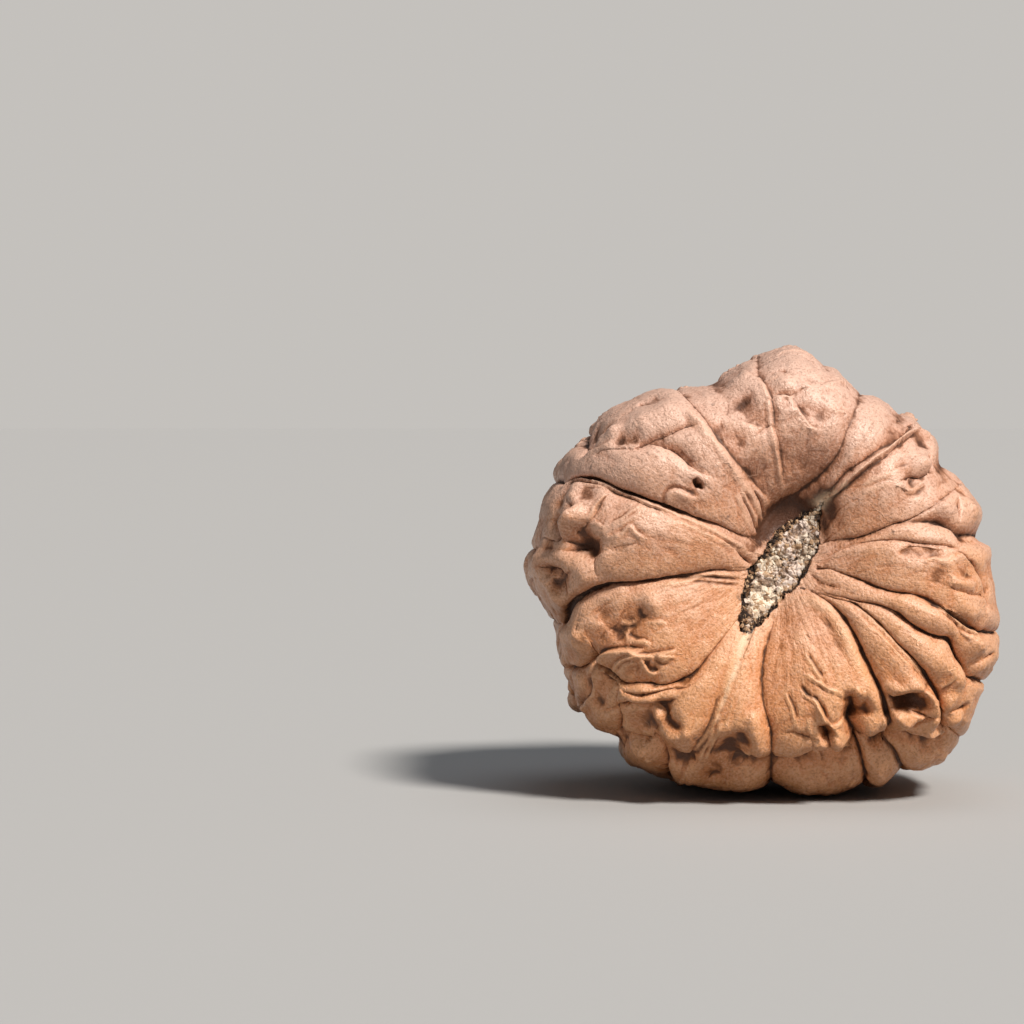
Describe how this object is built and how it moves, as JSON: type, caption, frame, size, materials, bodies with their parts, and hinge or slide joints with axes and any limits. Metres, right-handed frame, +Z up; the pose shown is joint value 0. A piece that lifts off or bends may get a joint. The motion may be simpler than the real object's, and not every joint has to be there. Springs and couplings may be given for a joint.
{
  "type": "wenwan walnut",
  "caption": "Round, deeply folded walnut shell with fused halves, lying on a small flat spot, with a crumbly corky plug in its lens-shaped stem scar.",
  "frame": {"origin": "on the surface that the nut rests on, under the middle of its box", "axes": "+Z up as it rests; -Y out of the stem scar, which faces the viewer, and +Y towards the pointed tip, along the nut's own axis; +X to the viewer's right"},
  "size_m": [0.0448, 0.0389, 0.042],
  "materials": {
    "oiled_shell": "waxy satin nut shell, pinkish tan on the lobes and dark brown in the folds",
    "corky_pith": "dry, crumbly and matt, cream with dark brown grains at its edge"
  },
  "bodies": {
    "root": {"walnut_shell": "oiled_shell", "stem_scar_plug": "corky_pith"}
  },
  "joints": []
}
